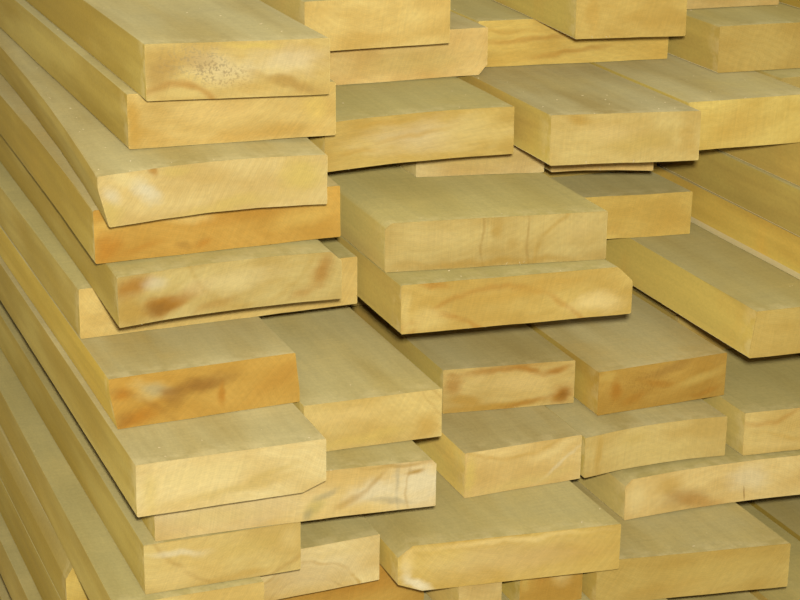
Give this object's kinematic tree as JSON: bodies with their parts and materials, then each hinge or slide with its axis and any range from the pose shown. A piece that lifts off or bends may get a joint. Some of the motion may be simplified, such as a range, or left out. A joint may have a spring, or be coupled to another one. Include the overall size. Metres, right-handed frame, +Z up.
{
  "type": "stack of rough-sawn hardwood boards",
  "caption": "Dead-piled stack of thick rough-sawn hardwood boards in close courses, random widths, with ends that stand at different depths.",
  "frame": {"origin": "middle of the box that the stack fills, on the floor under its lowest course", "axes": "+Z up, +Y along the boards with the near, uneven ends at -Y, +X across the stack to the right as seen from the near ends"},
  "size_m": [1.069, 2.751, 0.936],
  "materials": {
    "wood": "rough sawn, dry"
  },
  "bodies": {
    "root": {"course_01": "wood", "course_02": "wood", "course_03": "wood", "course_04": "wood", "course_05": "wood", "course_06": "wood", "course_07": "wood", "course_08": "wood", "course_09": "wood", "course_10": "wood", "course_11": "wood", "course_12": "wood", "course_13": "wood", "course_14": "wood", "course_15": "wood", "course_16": "wood", "course_17": "wood", "course_18": "wood"}
  },
  "joints": []
}
